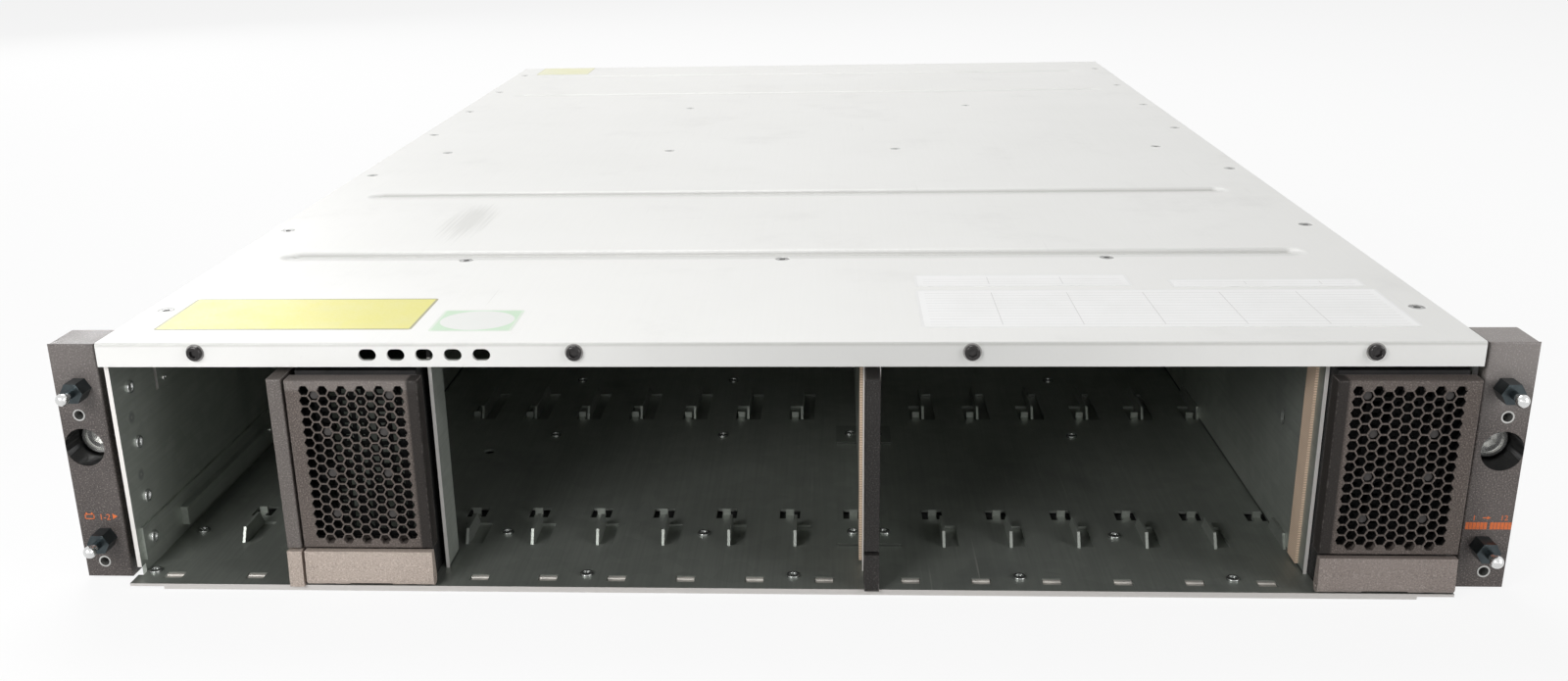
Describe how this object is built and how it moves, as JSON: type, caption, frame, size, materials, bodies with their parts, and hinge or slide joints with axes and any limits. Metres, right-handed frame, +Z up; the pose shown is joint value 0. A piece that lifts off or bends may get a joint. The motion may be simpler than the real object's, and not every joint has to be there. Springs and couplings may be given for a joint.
{
  "type": "storage array chassis",
  "caption": "Rack-mount storage enclosure with empty module bays at the front, grille filler modules, and sliding controller canisters and power supplies at the rear.",
  "frame": {"origin": "underside of the floor, on the centre line between the rack ears, at the rack's mounting plane (back face of the ears)", "axes": "+X to the right seen from the front, +Y to the rear, +Z up"},
  "size_m": [0.4826, 0.7291, 0.0878],
  "materials": {
    "cover_metal": "satin",
    "black_screw": "satin",
    "bright_steel": "polished",
    "taupe_plastic": "fine speckled",
    "gasket_cloth": "woven",
    "circuit_board": "lacquered",
    "black_plastic": "matte",
    "lever_plastic": "matte",
    "port_metal": "satin",
    "galvanised_steel": "galvanised"
  },
  "bodies": {
    "chassis": {"ball_studs": "bright_steel", "battery_divider": "galvanised_steel", "battery_divider_cap": "taupe_plastic", "battery_guide": "galvanised_steel", "centre_divider": "galvanised_steel", "centre_divider_cap": "taupe_plastic", "ear_inserts": "bright_steel", "emi_gaskets": "gasket_cloth", "floor_pan": "galvanised_steel", "front_cover_screws": "black_screw", "left_ear": "taupe_plastic", "left_ear_bracket": "galvanised_steel", "left_post": "galvanised_steel", "left_side_wall": "galvanised_steel", "midplane_board": "circuit_board", "midplane_bulkhead": "galvanised_steel", "midplane_connectors": "black_plastic", "rear_bay_frame": "galvanised_steel", "right_divider": "galvanised_steel", "right_ear": "taupe_plastic", "right_ear_bracket": "galvanised_steel", "right_side_wall": "galvanised_steel", "rivets": "bright_steel", "top_cover": "cover_metal", "top_cover_screws": "bright_steel", "top_front_rail": "galvanised_steel"},
    "left_filler": {"left_filler_bezel": "taupe_plastic", "left_filler_box": "galvanised_steel", "left_filler_screen": "galvanised_steel", "left_flap_pin": "bright_steel"},
    "left_flap": {"left_filler_flap": "taupe_plastic"},
    "left_screw": {"left_rack_screw": "bright_steel"},
    "right_filler": {"right_filler_bezel": "taupe_plastic", "right_filler_box": "galvanised_steel", "right_filler_screen": "galvanised_steel", "right_flap_pin": "bright_steel"},
    "right_flap": {"right_filler_flap": "taupe_plastic"},
    "right_screw": {"right_rack_screw": "bright_steel"},
    "lower_canister": {"lower_canister_tray": "galvanised_steel", "lower_canister_cover": "galvanised_steel", "lower_canister_board": "circuit_board", "lower_canister_ports": "port_metal", "lower_canister_fan_frames": "black_plastic"},
    "lower_lever": {"lower_canister_lever": "lever_plastic"},
    "lower_rotor_a": {"lower_canister_rotor_a": "black_plastic"},
    "lower_rotor_b": {"lower_canister_rotor_b": "black_plastic"},
    "lower_supply": {"lower_supply_case": "galvanised_steel"},
    "lower_handle": {"lower_supply_handle": "lever_plastic"},
    "lower_supply_fan": {"lower_supply_rotor": "black_plastic"},
    "upper_canister": {"upper_canister_tray": "galvanised_steel", "upper_canister_cover": "galvanised_steel", "upper_canister_board": "circuit_board", "upper_canister_ports": "port_metal", "upper_canister_fan_frames": "black_plastic"},
    "upper_lever": {"upper_canister_lever": "lever_plastic"},
    "upper_rotor_a": {"upper_canister_rotor_a": "black_plastic"},
    "upper_rotor_b": {"upper_canister_rotor_b": "black_plastic"},
    "upper_supply": {"upper_supply_case": "galvanised_steel"},
    "upper_handle": {"upper_supply_handle": "lever_plastic"},
    "upper_supply_fan": {"upper_supply_rotor": "black_plastic"}
  },
  "joints": [
    {"name": "left_filler_slide", "type": "slide", "parent": "chassis", "child": "left_filler", "axis": [0, -1, 0], "range_m": [0, 0.06]},
    {"name": "left_flap_hinge", "type": "hinge", "parent": "left_filler", "child": "left_flap", "pos_m": [-0.1378, -0.022, 0.0046], "axis": [1, 0, 0], "range_deg": [0, 75]},
    {"name": "left_rack_screw_travel", "type": "slide", "parent": "chassis", "child": "left_screw", "axis": [0, -1, 0], "range_m": [0, 0.006]},
    {"name": "right_filler_slide", "type": "slide", "parent": "chassis", "child": "right_filler", "axis": [0, -1, 0], "range_m": [0, 0.06]},
    {"name": "right_flap_hinge", "type": "hinge", "parent": "right_filler", "child": "right_flap", "pos_m": [0.2002, -0.022, 0.0046], "axis": [1, 0, 0], "range_deg": [0, 75]},
    {"name": "right_rack_screw_travel", "type": "slide", "parent": "chassis", "child": "right_screw", "axis": [0, -1, 0], "range_m": [0, 0.006]},
    {"name": "lower_canister_slide", "type": "slide", "parent": "chassis", "child": "lower_canister", "axis": [0, 1, 0], "range_m": [0, 0.34]},
    {"name": "lower_lever_hinge", "type": "hinge", "parent": "lower_canister", "child": "lower_lever", "pos_m": [-0.2089, 0.695, 0.02247], "axis": [0, 0, 1], "range_deg": [0, 60]},
    {"name": "lower_rotor_a_spin", "type": "hinge", "parent": "lower_canister", "child": "lower_rotor_a", "pos_m": [0.085, 0.68, 0.02247], "axis": [0, 1, 0], "continuous": true},
    {"name": "lower_rotor_b_spin", "type": "hinge", "parent": "lower_canister", "child": "lower_rotor_b", "pos_m": [0.045, 0.68, 0.02247], "axis": [0, 1, 0], "continuous": true},
    {"name": "lower_supply_slide", "type": "slide", "parent": "chassis", "child": "lower_supply", "axis": [0, 1, 0], "range_m": [0, 0.26]},
    {"name": "lower_handle_hinge", "type": "hinge", "parent": "lower_supply", "child": "lower_handle", "pos_m": [0.1415, 0.6925, 0.0063], "axis": [-1, 0, 0], "range_deg": [0, 90]},
    {"name": "lower_supply_rotor_spin", "type": "hinge", "parent": "lower_supply", "child": "lower_supply_fan", "pos_m": [0.1415, 0.68, 0.02247], "axis": [0, 1, 0], "continuous": true},
    {"name": "upper_canister_slide", "type": "slide", "parent": "chassis", "child": "upper_canister", "axis": [0, 1, 0], "range_m": [0, 0.34]},
    {"name": "upper_lever_hinge", "type": "hinge", "parent": "upper_canister", "child": "upper_lever", "pos_m": [-0.2089, 0.695, 0.06463], "axis": [0, 0, 1], "range_deg": [0, 60]},
    {"name": "upper_rotor_a_spin", "type": "hinge", "parent": "upper_canister", "child": "upper_rotor_a", "pos_m": [0.085, 0.68, 0.06463], "axis": [0, 1, 0], "continuous": true},
    {"name": "upper_rotor_b_spin", "type": "hinge", "parent": "upper_canister", "child": "upper_rotor_b", "pos_m": [0.045, 0.68, 0.06463], "axis": [0, 1, 0], "continuous": true},
    {"name": "upper_supply_slide", "type": "slide", "parent": "chassis", "child": "upper_supply", "axis": [0, 1, 0], "range_m": [0, 0.26]},
    {"name": "upper_handle_hinge", "type": "hinge", "parent": "upper_supply", "child": "upper_handle", "pos_m": [0.1415, 0.6925, 0.04845], "axis": [-1, 0, 0], "range_deg": [0, 90]},
    {"name": "upper_supply_rotor_spin", "type": "hinge", "parent": "upper_supply", "child": "upper_supply_fan", "pos_m": [0.1415, 0.68, 0.06463], "axis": [0, 1, 0], "continuous": true}
  ]
}
